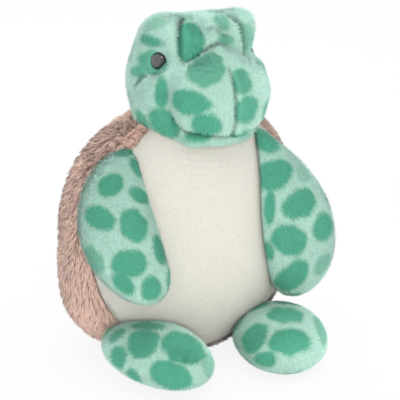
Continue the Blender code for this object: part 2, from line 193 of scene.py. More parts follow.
# Creases of the face as (turn, rise) in degrees, with half width and depths in metres, and
# the shares of the depth on the right and on the left side
EVEN = (1.0, 1.0)
CREASES = (
    (((8, 43), (21, 38), (32, 32), (44, 29), (56, 27), (66, 26)),
     0.0090, (0.002, 0.0080, 0.007), EVEN),
    (((0, 45), (13, 42.5), (21, 39), (28, 34), (35, 28.5), (43, 24)),
     0.0026, (0.0045, 0.0055, 0.003), (0.8, 1.0)),
    (((62, 78), (54, 63), (51, 53), (49, 47), (47.5, 42), (47, 36), (45, 29)),
     0.0027, (0.003, 0.0065, 0.0060, 0.004), (0.55, 1.5)),
    (((43, 24), (48, 9), (52, 0), (54, -14), (50, -25), (43, -38)),
     0.0048, (0.003, 0.0055, 0.004), (0.6, 1.0)),
    (((0, 20), (0, 8), (0, -2), (0, -12), (0, -26), (0, -32)),
     0.0015, (0.0015, 0.0038, 0.0036), EVEN),
    (((0, -33), (13, -33), (26, -32), (38, -30), (48, -25)),
     0.0026, (0.0075, 0.0070, 0.0030), EVEN),
    (((93, 1), (85, 7), (77, 12)), 0.0020, (0.001, 0.0095, 0.001), EVEN),
)
NARROW_CREASE = 0.004
EYE_AIM = (72.0, 26.0)
EYE_FACING = (67.0, 15.0)
EYE_REACH = 0.0439
EYE_BARE = 7.5
EYE_RADIUS, EYE_HEIGHT = 0.0068, 0.0042


def crease_depth(directions, line, width, depths, shares):
    """Depth of a bell-shaped groove along a line on the head's ball of directions and along
    its mirror image, with a share of the depth for each side."""
    folded = np.abs(directions) * (1.0, 0.0, 0.0) + directions * (0.0, 1.0, 1.0)
    gap, where = along_line(folded, aim(*np.array(line, float).T))
    depth = np.interp(where, np.linspace(0.0, 1.0, len(depths)), depths)
    share = shares[0] + (shares[1] - shares[0]) * smooth(directions[..., 0] / 0.2 + 0.5)
    return share * depth * np.exp(-(gap * HEAD_BALL / width) ** 2)


def plain_face(directions):
    """Squared-off ball with a muzzle below an inverted V, lips, chin, cheeks and brows,
    the same on both sides because x is folded to one side, then less the creases."""
    folded = np.abs(directions) * (1.0, 0.0, 0.0) + directions * (0.0, 1.0, 1.0)
    out, rise = turn_and_rise(folded)
    z = directions[..., 2]
    above = smooth((z + 0.45) / 0.8)
    radii = np.stack([HEAD_BALL - 0.0005 * above, HEAD_BALL + 0.0 * z,
                      np.where(z < 0, HEAD_BALL, 0.0510)], -1)
    radius = superellipsoid(directions, radii, 2.0 + 0.6 * above)
    top = np.interp(out, (0, 13, 21, 28, 35, 44, 60), (45, 42.5, 39, 34, 28.5, 24, 16))
    slope = smooth((top - rise) / (64.0 - 0.7 * np.minimum(out, 50.0))) ** 1.5
    sides, base = smooth((53.0 - out) / 17.0), smooth((rise + 50.0) / 20.0)
    lip = 0.0030 * np.exp(-((rise + 21.0) / 9.0) ** 2)
    radius += (0.0096 * slope + lip) * sides * base
    radius += 0.0050 * np.exp(-((rise + 46.0) / 9.0) ** 2 - (out / 42.0) ** 2)
    radius += 0.0040 * bell(directions, 133.0, 50.0, 22.0)
    radius -= 0.0035 * np.exp(-((rise - 42.0) / 22.0) ** 2 - (out / 38.0) ** 2)
    radius += 0.0050 * bell(directions, 60.0, 48.0, 17.0)
    radius += 0.0020 * bell(directions, 78.0, -8.0, 26.0)
    for crease in CREASES:
        radius -= crease_depth(directions, *crease)
    return radius


# Places that the face's stuffing fills or leaves: turn, rise and radius in millimetres
FACE_MARKS = np.array([
    (118, 3, 53.0), (121, 14, 52.4), (124, 24, 52.7), (127, 32, 53.7), (130, 41, 56.5),
    (135, 49, 58.6), (138, 53, 58.3), (155, 66, 51.6), (130, 74, 51.9), (106, 69, 52.3),
    (96, 64, 56.5), (89, 58, 60.3), (82, 51, 63.8), (79, 45.5, 62.8), (75, 37, 56.0),
    (70, 25, 47.0), (66, 11, 51.0), (62, -4, 51.5), (110, -26, 53.0), (113, -14, 52.3),
    (97, -30, 55.4), (88, -31, 55.0), (78, -34, 55.0), (68, -36.5, 55.0), (58, -39.5, 54.8),
    (49, -42.5, 55.4), (0, 45, 45.5), (13, 42, 40.0), (21, 39, 38.5),
    (28, 34, 39.0), (34, 28, 40.4), (43, 29, 38.5), (0, 16, 52.9), (0, 8, 55.8), (0, -1, 58.3),
    (0, -10, 59.4), (0, -20, 61.5), (0, -33, 54.0), (0, -46, 57.0), (54, 61, 50.5), (53, 57, 47.7),
    (49, 47.5, 44.0), (48, 42, 43.2), (47, 37, 41.0), (48, 34, 40.5), (45, 22, 48.0),
    (50, 9, 48.0), (54, -1, 48.0), (56, -15, 48.0), (51, -27, 48.0), (40, -17, 57.0),
    (38, -22, 58.0), (38, -40, 57.5), (32, -48, 57.5), (0, 70, 51.0), (27, 60, 49.5),
    (170, 20, 50.0), (170, -20, 50.0), (140, -10, 51.0)])
MARK_SPREAD = 13.0
MARK_PENALTY = 0.15


def mark_shares(directions):
    """exp(-(angle / spread)^2) round each mark, plus the same round its mirror image."""
    marks = aim(FACE_MARKS[:, 0], FACE_MARKS[:, 1])
    shares = 0.0
    for mirrored in ((1.0, 1.0, 1.0), (-1.0, 1.0, 1.0)):
        angle = np.degrees(np.arccos(np.clip(directions @ (marks * mirrored).T, -1.0, 1.0)))
        shares = shares + np.exp(-(angle / MARK_SPREAD) ** 2)
    return shares


def mark_lifts():
    """How far each mark lifts the face: least squares with a small penalty on the lifts."""
    marks = aim(FACE_MARKS[:, 0], FACE_MARKS[:, 1])
    shares = mark_shares(marks)
    short = FACE_MARKS[:, 2] / 1000.0 - plain_face(marks)
    return np.linalg.solve(shares.T @ shares + MARK_PENALTY * np.eye(len(marks)),
                           shares.T @ short)


MARK_LIFTS = mark_lifts()


def face_radius(directions):
    """The plain face lifted or lowered round its marks."""
    return plain_face(directions) + mark_shares(directions) @ MARK_LIFTS


def head_radius(directions):
    """The face with its eye sockets, as deep as brings the surface to the eyes' backs."""
    socket = face_radius(aim(*EYE_AIM)[None])[0] - EYE_REACH
    return face_radius(directions) - socket * flat_bell(directions, *EYE_AIM, 15.0)


def limb_points(ball, root, middle, tip, across, half_width, half_thickness, powers):
    """An ellipse carried along a quadratic curve from root to tip, as wide as the ball is
    at that height to a power, one for the root's half and one for the tip's, where less
    than 1 fills the end and more draws it out, and pressed out of the torso."""
    bow = 2.0 * middle - (root + tip) / 2.0
    share = ((1.0 - ball[..., 2]) / 2.0)[..., None]
    line = (1 - share) ** 2 * root + 2 * share * (1 - share) * bow + share ** 2 * tip
    along = unit((1 - share) * (bow - root) + share * (tip - bow))
    side = unit(across - along * (along @ across)[..., None])
    front = np.cross(side, along)
    girth = np.hypot(ball[..., 0], ball[..., 1])
    power = np.where(ball[..., 2] > 0, *powers)
    fuller = (np.maximum(girth, 1e-6) ** (power - 1.0) * (girth > 1e-6))[..., None]
    offset = fuller * (side * half_width * ball[..., :1] + front * half_thickness * ball[..., 1:2])
    outward = (unit(offset + 1e-4 * along) * unit(line - TORSO_MIDDLE)).sum(-1)
    clearance = 0.0008 + 0.015 * girth ** 1.4 * (1.0 + outward) / 2.0
    return pressed_out_of_torso(line + offset, clearance)


# Front flippers: turn and rise from the torso's middle and distance off it, root to tip,
# then half width, half thickness and the powers of the root's and the tip's half
ARMS = {
    LEFT: (((50.0, 63.0, 0.0006), (47.0, 4.6, 0.012), (56.5, -30.5, 0.013)), 0.0322, 0.0160,
           (1.9, 1.0)),
    RIGHT: (((71.0, 51.0, 0.0006), (56.8, 14.4, 0.011), (35.4, -15.2, 0.016)), 0.0297, 0.0180,
            (1.23, 0.87)),
}

# Hind flippers: the root's turn and height, toe-in in degrees, length, bow to the outside,
# the tip's height, half width, half thickness and powers
LEGS = {
    LEFT: (72.6, 0.0207, 20.0, 0.0946, 0.0052, 0.0208, 0.0355, 0.0226, (1.2, 0.82)),
    RIGHT: (79.3, 0.0250, 16.6, 0.0995, 0.0018, 0.0195, 0.0322, 0.0202, (1.1, 0.92)),
}


def arm_points(ball, side):
    """The front flipper of one side."""
    line, half_width, half_thickness, powers = ARMS[side]
    places = [on_torso(side * turn, rise, off) for turn, rise, off in line]
    return limb_points(ball, *places, np.array([1.0, 0.0, 0.0]), half_width, half_thickness, powers)


def leg_points(ball, side):
    """The hind flipper of one side, toed in and flat on the floor."""
    turn, height, toe_in, length, bow, tip_height, half_width, half_thickness, powers = LEGS[side]
    ahead = aim(-side * toe_in, 0.0)
    across = np.array([-ahead[1], ahead[0], 0.0])
    root = on_torso(side * turn, -46.0, -0.0003)
    root[2] = height
    middle = root + ahead * length / 2.0 + across * side * bow
    tip = root + ahead * length
    tip[2] = tip_height
    return limb_points(ball, root, middle, tip, across, half_width, half_thickness, powers)


# Grids, meshes and pile

def ball_grid(around, along):
    """Points of a unit ball: polar angle down from +Z by rows, turns round it by columns."""
    polar = np.linspace(0.0, math.pi, along + 1)[:, None]
    turn = np.linspace(0.0, 2.0 * math.pi, around, endpoint=False)[None, :]
    return np.stack([np.sin(polar) * np.cos(turn), np.sin(polar) * np.sin(turn),
                     np.cos(polar) + 0.0 * turn], -1)


def grid_normals(points):
    """Cross product of the central differences down and round a grid, facing outwards."""
    down = np.gradient(points, axis=0)
    round_it = np.roll(points, -1, axis=1) - np.roll(points, 1, axis=1)
    normals = unit(np.cross(down, round_it))
    normals[0] = unit(normals[1].mean(0))
    normals[-1] = unit(normals[-2].mean(0))
    return normals


def grid_faces(rows, around):
    """Quads between the rows of a grid, triangles to one point at each pole, and the corners
    of both on the unit square, for a map with its seam at one column."""
    cells = np.stack(np.mgrid[1:rows - 2, :around], -1).reshape(-1, 1, 2)
    quads = cells + [(0, 0), (1, 0), (1, 1), (0, 1)]
    ends = (np.arange(around)[:, None] * (0, 1))[:, None]
    triangles = np.concatenate([ends + [(0, 0.5), (1, 0), (1, 1)],
                                ends + [(rows - 1, 0.5), (rows - 2, 1), (rows - 2, 0)]])

    def index(corners):
        """The index of each corner's point; a pole has one for all."""
        place = 1 + (corners[..., 0] - 1) * around + corners[..., 1] % around
        return np.clip(place, 0, 1 + (rows - 2) * around).astype(int)

    corners = np.concatenate([quads.reshape(-1, 2), triangles.reshape(-1, 2)])[:, ::-1]
    return index(quads), index(triangles), corners / (around, rows - 1)


def new_piece(name, points, quads, triangles, corners, normals=None, **values):
    """A mesh object at the origin from arrays, with point attributes and a map for bakes."""
    mesh = bpy.data.meshes.new(name)
    loops = np.concatenate([quads.ravel(), triangles.ravel()]).astype(np.int32)
    totals = np.concatenate([np.full(len(quads), 4), np.full(len(triangles), 3)])
    starts = np.concatenate([[0], np.cumsum(totals)[:-1]]).astype(np.int32)
    mesh.vertices.add(len(points))
    mesh.vertices.foreach_set("co", points.astype(np.float32).ravel())
    mesh.loops.add(len(loops))
    mesh.loops.foreach_set("vertex_index", loops)
    mesh.polygons.add(len(totals))
    mesh.polygons.foreach_set("loop_start", starts)
    mesh.polygons.foreach_set("loop_total", totals.astype(np.int32))
    mesh.update(calc_edges=True)
    mesh.shade_smooth()
    for key, value in values.items():
        attribute = mesh.attributes.new(key, "FLOAT", "POINT")
        attribute.data.foreach_set("value", value.astype(np.float32).ravel())
    layer = mesh.uv_layers.new(name="OFBake")
    layer.uv.foreach_set("vector", (0.01 + 0.98 * corners).astype(np.float32).ravel())
    if normals is not None:
        mesh.normals_split_custom_set_from_vertices(normals)
    mesh.validate()
    piece = bpy.data.objects.new(name, mesh)
    bpy.context.scene.collection.objects.link(piece)
    return piece


def new_cover(name, points, **values):
    """A closed cover from a grid whose first and last rows are one point each."""
    def merged(grid):
        """A grid's rows in one list, with one entry for each pole."""
        return np.concatenate([grid[:1, 0], grid[1:-1].reshape(-1, *grid.shape[2:]), grid[-1:, 0]])

    return new_piece(name, merged(points), *grid_faces(*points.shape[:2]),
                     **{key: merged(value) for key, value in values.items()})


def new_ring(name, loop, thick):
    """A closed cord along a loop: a circle of 8 points round each point, square to its run."""
    along = unit(np.roll(loop, -1, 0) - np.roll(loop, 1, 0))
    out = loop - loop.mean(0)
    out = unit(out - along * (out * along).sum(-1, keepdims=True))
    side = np.cross(along, out)
    turn = np.linspace(0.0, 2.0 * math.pi, 8, endpoint=False)[None, :, None]
    points = loop[:, None] + thick * (np.cos(turn) * out[:, None] + np.sin(turn) * side[:, None])
    index = np.arange(points.shape[0] * 8).reshape(-1, 8)
    beside, after = np.roll(index, -1, 1), np.roll(index, -1, 0)
    quads = np.stack([index, beside, np.roll(beside, -1, 0), after], -1).reshape(-1, 4)
    cell = np.stack(np.divmod(np.arange(len(quads)), 8), -1)
    corners = (cell[:, None] + np.array([(0, 0), (0, 1), (1, 1), (1, 0)])).reshape(-1, 2)
    return new_piece(name, points.reshape(-1, 3), quads, np.zeros((0, 3), int),
                     corners / (points.shape[0], 8))


def scatter(points, weight, count, seed):
    """Seeded places spread over a grid by area times weight, as cells and shares in them."""
    draw = np.random.default_rng(seed)
    after = np.roll(points, -1, axis=1)
    area = np.linalg.norm(np.cross(after[:-1] - points[:-1], points[1:] - points[:-1]), axis=-1)
    area += np.linalg.norm(np.cross(after[:-1] - after[1:], points[1:] - after[1:]), axis=-1)
    chance = np.cumsum((area * (weight[:-1] + weight[1:])).ravel())
    cell = np.searchsorted(chance, (np.arange(count) + draw.random(count)) / count * chance[-1])
    row, column = np.divmod(np.minimum(cell, chance.size - 1), points.shape[1])
    return row, column, draw.random(count), draw.random(count)


def sampled(grid, places):
    """A grid's values at scattered places, linear between its rows and columns."""
    row, column, down, across = places
    after = (column + 1) % grid.shape[1]
    down, across = ((share[:, None] if grid.ndim == 3 else share) for share in (down, across))
    upper = grid[row, column] * (1 - across) + grid[row, after] * across
    lower = grid[row + 1, column] * (1 - across) + grid[row + 1, after] * across
    return upper * (1 - down) + lower * down


def clumped(roots, tips, size, pull, seed):
    """Tips drawn towards the mean tip of their clump: the needles whose roots share a cell
    of a lattice that smooth bumps have bent."""
    wander = np.stack([lumps(roots, 3.0 * size, seed + k) for k in range(3)], -1)
    bent = roots + 0.35 * size * wander
    cells = np.floor(bent / size).astype(np.int64)
    _, clump = np.unique(cells @ (1, 4001, 16008001), return_inverse=True)
    share = np.bincount(clump)
    mean = np.stack([np.bincount(clump, tips[:, k]) / share for k in range(3)], -1)
    return tips + pull * (mean[clump] - tips)


# A needle's quads and triangles: a root triangle (0 to 2), then, where the needle bends, a
# middle one (3 to 5), and its point
STRAIGHT = ((), ((0, 1, 2), (0, 3, 1), (1, 3, 2), (2, 3, 0)))
BENT = (((0, 3, 4, 1), (1, 4, 5, 2), (2, 5, 3, 0)), ((0, 1, 2), (3, 6, 4), (4, 6, 5), (5, 6, 3)))
NEEDLE_MAP = 0.0012
# How far painted shade lowers the shade attribute where creases or flippers are darkened
SHADE_OF_FOLDS = 3.0


def new_pile(name, cover, count, length, width, lean, comb, seed, clump, weight, keep,
             bend=0.0, spot=None, painted_shade=None, loose=0.35):
    """Needles that grow from a cover's grid: each is a thin closed wedge from a small
    triangle at its root to a point, leaning from the surface towards the comb direction."""
    grid, shading = cover
    draw = np.random.default_rng(seed)
    places = scatter(grid, weight, count, seed)
    roots, normals = sampled(grid, places), unit(sampled(shading, places))
    tall = length * draw.uniform(0.75, 1.15, count) * sampled(np.sqrt(weight), places)
    along = comb(roots) + loose * draw.normal(size=(count, 3))
    along = unit(along - normals * (along * normals).sum(-1)[:, None])
    angle = np.radians(lean) * draw.uniform(0.75, 1.2, count)[:, None]
    tips = roots + tall[:, None] * (normals * np.cos(angle) + along * np.sin(angle))
    tips = clumped(roots, tips, *clump, seed)
    kept = keep(roots, tips)
    roots, normals, tips, tall = roots[kept], normals[kept], tips[kept], tall[kept]
    count = len(roots)
    run = unit(tips - roots)
    side = unit(np.cross(run, normals))
    outer = unit(np.cross(side, run))
    half = (width / 2.0 * draw.uniform(0.8, 1.2, count))[:, None]
    roots = roots - 0.3 * half * normals
    rings, up = [(roots, 1.0)], [0.0] * 3
    if bend:
        rings.append((roots + 0.5 * (tips - roots) + bend * tall[:, None] * outer, 0.85))
        up += [0.5] * 3
    up.append(1.0)
    edges = np.stack([side, -side, -outer], 1) * half[:, None]
    points = np.concatenate([place[:, None] + edges * wide for place, wide in rings]
                            + [tips[:, None]], 1)
    row, column, down, across = (part[kept] for part in places)
    map_at = np.stack([(column + across) / grid.shape[1], (row + down) / (grid.shape[0] - 1)], -1)
    spread = NEEDLE_MAP * np.array([(0, 0), (1, 0), (1, 1), (0, 1)])
    first = (np.arange(count) * len(up))[:, None, None]
    faces, corners = [], []
    for kind, order in zip(BENT if bend else STRAIGHT, ((0, 1, 2, 3), (0, 1, 3))):
        sides = len(order)
        faces.append((first + np.array(kind, int).reshape(-1, sides)).reshape(-1, sides))
        corners.append((np.repeat(map_at, len(kind), 0)[:, None] + spread[list(order)])
                       .reshape(-1, 2))
    shade = draw.random(count)
    # Painted shade: the shade attribute drops where painted_shade is given.
    if painted_shade is not None:
        shade -= SHADE_OF_FOLDS * sampled(painted_shade, places)[kept]
    values = {"tip": np.tile(up, count), "shade": np.repeat(shade, len(up))}
    if spot is not None:
        values["spot"] = np.repeat(sampled(spot, places)[kept], len(up))
    soft = unit(normals + 0.25 * outer)
    return new_piece(name, points.reshape(-1, 3), *faces, np.concatenate(corners),
                     np.repeat(soft, len(up), 0), **values)


# Shader maths

class Value:
    """A node's output that Python's operators add Math nodes to."""

    def __init__(self, tree, socket):
        self.tree, self.socket = tree, socket

    def math(self, operation, *values):
        """A Math node on values."""
        return self.tree.node("ShaderNodeMath", {"operation": operation},
                              dict(enumerate(values)))

    def __add__(self, other):
        return self.math("ADD", self, other)

    def __sub__(self, other):
        return self.math("SUBTRACT", self, other)

    def __rsub__(self, other):
        return self.math("SUBTRACT", other, self)

    def __mul__(self, other):
        return self.math("MULTIPLY", self, other)

    __radd__, __rmul__ = __add__, __mul__


class Nodes:
    """A node tree that is written as expressions."""

    def __init__(self, tree):
        self.nodes, self.links = tree.nodes, tree.links

    def node(self, kind, settings=None, values=None, output=0):
        """Any node: its settings first, then numbers, colours or links into its sockets."""
        made = self.nodes.new(kind)
        for key, value in (settings or {}).items():
            if key == "stops":
                ramp = made.color_ramp
                while len(ramp.elements) < len(value):
                    ramp.elements.new(0.5)
                for element, (position, colour) in zip(ramp.elements, value):
                    element.position, element.color = position, (*colour, 1.0)
            else:
                setattr(made, key, value)
        for key, value in (values or {}).items():
            self.feed(made.inputs[key], value)
        return Value(self, made.outputs[output])

    def feed(self, socket, value):
        """Link a value into a socket, or set the number or colour there."""
        if isinstance(value, Value):
            self.links.new(value.socket, socket)
        elif isinstance(value, tuple) and len(value) == 3 and socket.type == "RGBA":
            socket.default_value = (*value, 1.0)
        else:
            socket.default_value = value

    def mix(self, share, first, second):
        """A colour between two, by a share."""
        return self.node("ShaderNodeMix", {"data_type": "RGBA"}, {0: share, 6: first, 7: second}, 2)

    def scaled(self, colour, factor):
        """A colour times a number."""
        return self.node("ShaderNodeVectorMath", {"operation": "SCALE"},
                         {0: colour, "Scale": factor})

    def attribute(self, name):
        """A point attribute of the piece."""
        return self.node("ShaderNodeAttribute", {"attribute_name": name}, output=2)

    def noise(self, size, detail=2.0, rough=0.5):
        """Noise from 0 to 1 with features of about one size, in metres, on Object coordinates."""
        return self.node("ShaderNodeTexNoise", None,
                         {"Vector": self.node("ShaderNodeTexCoord", output=3),
                          "Scale": 1.0 / size, "Detail": detail, "Roughness": rough})

    def seen(self):
        """1 for camera rays and glossy rays, else 0."""
        rays = [self.node("ShaderNodeLightPath", output=name)
                for name in ("Is Camera Ray", "Is Glossy Ray")]
        return rays[0].math("MAXIMUM", *rays)

    def either(self, share, first, second):
        """A shader between two, by a share."""
        return self.node("ShaderNodeMixShader", None, {0: share, 1: first, 2: second})


class Finish(Nodes):
    """A material with one Principled shader, whose plain values are given by name."""

    def __init__(self, name, **plain):
        self.material = bpy.data.materials.new(name)
        self.material.use_nodes = True
        super().__init__(self.material.node_tree)
        self.shader = self.nodes["Principled BSDF"]
        self.set(**plain)

    def set(self, **values):
        """Feed the Principled shader's sockets."""
        for key, value in values.items():
            self.feed(self.shader.inputs[key.replace("_", " ")], value)
        return self.material


def plush_finish(name, light, dark, shaded_root_share, uneven=0.24):
    """Pile colour: light or spot colour by the spot attribute, darkened towards the roots as
    painted shade, uneven from needle to needle and in soft patches, and darker by the painted shade
    that the shade attribute carries."""
    finish = Finish(name, Roughness=0.9, Sheen_Weight=0.25, Sheen_Roughness=0.45,
                    Specular_IOR_Level=0.15)
    colour = finish.mix(finish.attribute("spot"), light, dark) if dark else light
    patches = 1.0 - uneven / 2 + uneven * finish.noise(0.003, 3.0, 0.6)
    # Painted shade: the colour falls from the tip to shaded_root_share at the root, and a cover's
    # low tip value darkens it under its pile.
    factor = shaded_root_share + (1.0 - shaded_root_share) * finish.attribute("tip")
    # The shade attribute is a random tone for each needle, lowered where painted shade is laid on
    # creases and flippers.
    factor = factor * patches * (0.87 + 0.26 * finish.attribute("shade"))
    return finish.set(Base_Color=finish.scaled(colour, factor))


def thread_finish():
    """Twisted green thread, a little uneven."""
    finish = Finish("thread", Roughness=0.75)
    return finish.set(Base_Color=finish.mix(finish.noise(0.0008), (0.20, 0.42, 0.34),
                                            (0.35, 0.60, 0.50)))


# Sizes and colours that a user may change

def length_property(name, words, default):
    """A length in metres for a property group."""
    return bpy.props.FloatProperty(name=name, description=words, default=default,
                                   min=0.0, unit="LENGTH", precision=4)


def colour_property(name, words, default):
    """A linear colour for a property group."""
    return bpy.props.FloatVectorProperty(name=name, description=words, default=default,
                                         size=3, min=0.0, max=1.0, subtype="COLOR")


class TurtlePile(bpy.types.PropertyGroup):
    """Heights and widths of the pile."""
    green_height: length_property("Green height", "Needle length on head and flippers", 0.0036)
    brown_height: length_property("Brown height", "Needle length on the shell", 0.0085)
    cream_height: length_property("Cream height", "Needle length on the belly", 0.0012)
    needle_width: length_property("Needle width", "Width of a green needle at its root", 0.0006)


class TurtleColours(bpy.types.PropertyGroup):
    """Colours of the cloths and eyes."""
    green: colour_property("Green", "Ground of the spotted plush", (0.60, 0.93, 0.78))
    spot: colour_property("Spot", "Spots of the spotted plush", (0.135, 0.56, 0.37))
    brown: colour_property("Brown", "Shell plush", (0.95, 0.65, 0.53))
    cream: colour_property("Cream", "Belly plush", (0.69, 0.665, 0.592))
    eye: colour_property("Eye", "Middle of the eye", (0.055, 0.060, 0.058))


def pile():
    """The pile's sizes."""
    return bpy.context.scene.turtle_pile


def tint(name):
    """One of the colours, as a tuple."""
    return tuple(getattr(bpy.context.scene.turtle_colours, name))


FINISHES = {}


def finish_named(name):
    """The material of a cloth, made once."""
    if name not in FINISHES:
        FINISHES[name] = {
            "green": lambda: plush_finish("green_plush", tint("green"), tint("spot"), 0.80),
            "brown": lambda: plush_finish("brown_plush", tint("brown"), None, 0.74),
            "cream": lambda: plush_finish("cream_plush", tint("cream"), None, 0.92, uneven=0.06),
            "thread": thread_finish,
        }[name]()
    return FINISHES[name]


def dress(piece, finish, slot, body, *nodes):
    """Give a piece its material and its body, and hide the imported nodes that it stands for."""
    piece.data.materials.append(finish)
    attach(piece, body)
    if nodes:
        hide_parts(*nodes)
    return piece


# Operators

class TURTLE_OT_stage(bpy.types.Operator):
    """Add the floor, soft lights, pale world and the camera"""
    bl_idname = "turtle.stage"
    bl_label = "Stage"

    def execute(self, context):
        context.scene.view_settings.view_transform = "Standard"
        make_camera()
        make_floor()
        make_lights()
        return {"FINISHED"}


# The view: the toy's middle, the direction to the camera in degrees, and where the picture's
# centre lies to the right of the middle and below it
VIEW_MIDDLE = Vector((0.0, 0.0, 0.13))
VIEW_TURN, VIEW_RISE = -27.0, 15.0
VIEW_RIGHT, VIEW_DOWN = 0.0141, 0.0090

# Lamps: name, place, place aimed at, size, power, spread in degrees, and seen in gloss
LAMPS_AT = (0.0, 0.0, 0.12)
LAMPS = (
    ("key", (-0.30, -0.85, 2.45), LAMPS_AT, 1.5, 9.0, 180.0, True),
    ("front", (-0.05, -1.95, 0.35), LAMPS_AT, 1.6, 2.2, 180.0, True),
    ("sparkle", (-0.49, -0.88, 1.40), LAMPS_AT, 0.20, 1.7, 180.0, True),
    ("fill", (1.7, -1.4, 0.9), LAMPS_AT, 1.8, 5.5, 180.0, True),
    ("back", (0.3, 1.8, 1.6), LAMPS_AT, 1.4, 8.0, 180.0, True),
    ("low", (-0.35, -1.3, 0.22), (0.0, -0.09, -0.01), 0.5, 0.36, 34.0, False),
)
WORLD_STRENGTH = 0.88
FLOOR_GLOW = 0.88
FLOOR_REACH = 4.0


def add_to_stage(name, data, place, aimed_at):
    """A lamp or camera at a place, whose -Z looks at another place."""
    item = bpy.data.objects.new(name, data)
    item.location = place
    item.rotation_euler = (item.location - Vector(aimed_at)).to_track_quat("Z", "Y").to_euler()
    bpy.context.scene.collection.objects.link(item)
    return item


def make_camera():
    """The camera, 1 m from the middle of the toy."""
    towards = Vector(aim(VIEW_TURN, VIEW_RISE))
    turn = math.radians(VIEW_TURN)
    right = Vector((math.cos(turn), math.sin(turn), 0.0))
    target = VIEW_MIDDLE + right * VIEW_RIGHT - towards.cross(right) * VIEW_DOWN
    data = bpy.data.cameras.new("camera")
    data.lens, data.sensor_width = 115.2, 36.0
    bpy.context.scene.camera = add_to_stage("camera", data, VIEW_MIDDLE + towards, target)


def make_floor():
    """A wide white sheet on the floor that shows near white and keeps a faint shadow."""
    finish = Finish("floor_white", Roughness=0.9, Base_Color=(0.9, 0.9, 0.9))
    shown = finish.either(finish.seen() * FLOOR_GLOW, Value(finish, finish.shader.outputs[0]),
                          finish.node("ShaderNodeEmission", None, {0: (1.0, 1.0, 1.0)}))
    finish.feed(finish.nodes["Material Output"].inputs[0], shown)
    reach = FLOOR_REACH
    mesh = bpy.data.meshes.new("floor")
    mesh.from_pydata([(-reach, -reach, 0), (reach, -reach, 0), (reach, reach, 0),
                      (-reach, reach, 0)], [], [(0, 1, 2, 3)])
    floor = bpy.data.objects.new("floor", mesh)
    mesh.materials.append(finish.material)
    bpy.context.scene.collection.objects.link(floor)


def make_lights():
    """The lamps, and a pale world that the camera and gloss see as white."""
    for name, place, aimed_at, size, power, spread, in_gloss in LAMPS:
        data = bpy.data.lights.new(name, "AREA")
        data.size, data.energy, data.spread = size, power, math.radians(spread)
        add_to_stage(name, data, place, aimed_at).visible_glossy = in_gloss
    world = bpy.context.scene.world or bpy.data.worlds.new("world")
    bpy.context.scene.world = world
    world.use_nodes = True
    world.node_tree.nodes.clear()
    tree = Nodes(world.node_tree)
    pale, white = (tree.node("ShaderNodeBackground", None, {0: colour, 1: strength})
                   for colour, strength in (((0.97, 0.98, 1.0), WORLD_STRENGTH),
                                            ((1.0, 1.0, 1.0), 1.0)))
    tree.feed(tree.nodes.new("ShaderNodeOutputWorld").inputs[0],
              tree.either(tree.seen(), pale, white))


class TURTLE_OT_torso(bpy.types.Operator):
    """Add the brown shell and the cream belly with their pile"""
    bl_idname = "turtle.torso"
    bl_label = "Torso"

    def execute(self, context):
        make_torso()
        return {"FINISHED"}


def front_pole(polar, turn):
    """Directions by the angle from straight ahead and the turn round that axis."""
    return np.stack([np.sin(polar) * np.cos(turn), -np.cos(polar), np.sin(polar) * np.sin(turn)],
                    -1)


def seam_angle(turn):
    """The polar angle where the torso meets the seam's plane, found by halving."""
    low, high = np.full(turn.shape, 0.5), np.full(turn.shape, 2.2)
    for _ in range(36):
        half = (low + high) / 2.0
        ahead = torso_points(front_pole(half, turn))[..., 1] < SEAM_PLANE
        low, high = np.where(ahead, half, low), np.where(ahead, high, half)
    return (low + high) / 2.0


TORSO_AROUND, TORSO_ROWS = 300, 130


def torso_half(front, drawn_in):
    """One side of the torso on a grid: from its pole to the seam, and rolled in there over a
    few millimetres, with gathers round the neck in front and a slump low behind."""
    turn = np.linspace(0.0, 2.0 * math.pi, TORSO_AROUND, endpoint=False)[None, :]
    share = np.linspace(0.0, 1.0, TORSO_ROWS + 1)[:, None]
    edge = seam_angle(turn)
    pole = 0.0 if front else math.pi
    directions = front_pole(pole + (edge - pole) * share, turn)
    points = torso_points(directions)
    normals = grid_normals(points)
    normals *= np.sign(((points - TORSO_MIDDLE) * normals).sum(-1, keepdims=True))
    gap = np.abs(points[..., 1] - SEAM_PLANE)
    roll = np.sqrt(np.clip(1.0 - (1.0 - np.clip(gap / 0.004, 0, 1)) ** 2, 0.0, 1.0))
    gathers = np.maximum(np.linalg.norm(points - HEAD_CENTRE, axis=-1) - HEAD_BALL, 0.0)
    ripple = 0.0005 * np.sin(gathers * (2.0 * math.pi / 0.0045)) * np.exp(-gathers / 0.007)
    slump = 0.0 if front else 0.006 * bell(unit(points - TORSO_MIDDLE), 112.0, -42.0, 22.0)
    inset = drawn_in + 0.0010 * (1.0 - roll) + front * ripple - slump
    points = points - normals * inset[..., None]
    side = -1.0 if front else 1.0
    points[..., 1] = np.where(side * (points[..., 1] - SEAM_PLANE) < SEAM_GAP,
                              SEAM_PLANE + side * SEAM_GAP, points[..., 1])
    return points


def out_of_head(points):
    """How far points lie outside the head, along its radii."""
    offset = points - HEAD_CENTRE
    return np.linalg.norm(offset, axis=-1) - head_radius(unit(offset))


def dished(points, clearance):
    """Points inside the head's ball moved out along its radii, which dishes the torso's top."""
    offset = points - HEAD_CENTRE
    reach = np.linalg.norm(offset, axis=-1, keepdims=True)
    return np.where(reach < HEAD_BALL + clearance,
                    HEAD_CENTRE + unit(offset) * (HEAD_BALL + clearance), points)


CLOSING_ROWS = np.array([0.1, 0.55, 1.0])


def closed_half(points, front):
    """The grid with rows added that run from its edge to one point inside."""
    edge = points[-1:]
    inside = np.array([0.0, SEAM_PLANE + (-SEAM_GAP if front else SEAM_GAP), SEAM_MIDDLE])
    grid = np.concatenate([points, edge + (inside - edge) * CLOSING_ROWS[:, None, None]])
    grid[..., 2] = np.maximum(grid[..., 2], FLOOR)
    return grid


